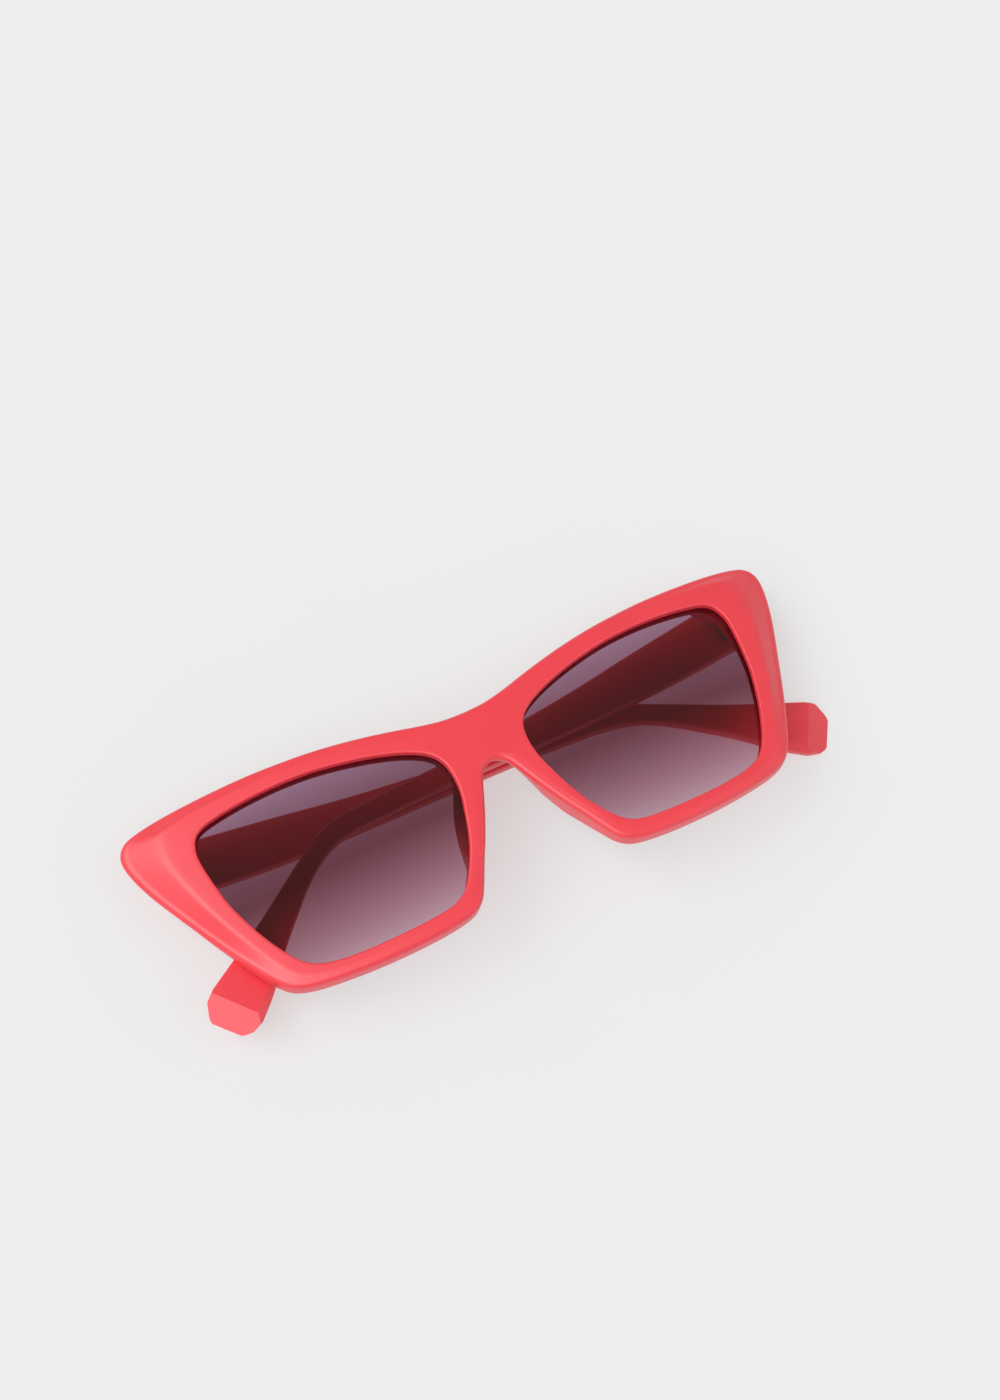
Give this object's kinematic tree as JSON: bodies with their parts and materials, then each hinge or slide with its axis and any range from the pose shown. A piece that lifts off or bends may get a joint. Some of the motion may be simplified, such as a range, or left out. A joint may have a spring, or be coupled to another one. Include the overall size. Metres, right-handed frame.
{
  "type": "cat eye sunglasses",
  "caption": "Cat eye sunglasses with a wrapped one-piece front, tinted lenses and hinged temples, lying folded with the front facing up.",
  "frame": {"origin": "centre of the bounding box's base, on the surface that the folded pair lies on", "axes": "+X from the wearer's right to the wearer's left, +Y towards the brow, +Z out of the front, upwards as it lies"},
  "size_m": [0.1482, 0.0474, 0.0212],
  "materials": {
    "coral_plastic": "matt soft-touch coral plastic",
    "smoke_lens": "glossy gradient tint, darker at the top",
    "hinge_steel": "plain steel hinge hardware"
  },
  "bodies": {
    "front": {"front_frame": "coral_plastic", "lens_left": "smoke_lens", "lens_right": "smoke_lens", "front_hinge_left": "hinge_steel", "front_hinge_right": "hinge_steel", "hinge_screw_left": "hinge_steel", "hinge_screw_right": "hinge_steel", "front_leaf_screw_left_lower": "hinge_steel", "front_leaf_screw_left_upper": "hinge_steel", "front_leaf_screw_right_lower": "hinge_steel", "front_leaf_screw_right_upper": "hinge_steel"},
    "left_temple": {"temple_left": "coral_plastic", "temple_hinge_left": "hinge_steel", "temple_leaf_screw_left_lower": "hinge_steel", "temple_leaf_screw_left_upper": "hinge_steel"},
    "right_temple": {"temple_right": "coral_plastic", "temple_hinge_right": "hinge_steel", "temple_leaf_screw_right_lower": "hinge_steel", "temple_leaf_screw_right_upper": "hinge_steel"}
  },
  "joints": [
    {"name": "right_hinge", "type": "hinge", "parent": "right_temple", "child": "front", "pos_m": [-0.06747, 0.01547, 0.0045], "axis": [0, -1, 0], "range_deg": [0, 88.97]},
    {"name": "left_hinge", "type": "hinge", "parent": "front", "child": "left_temple", "pos_m": [0.06611, 0.01547, 0.0069], "axis": [0, -1, 0], "range_deg": [0, 92.86]}
  ]
}
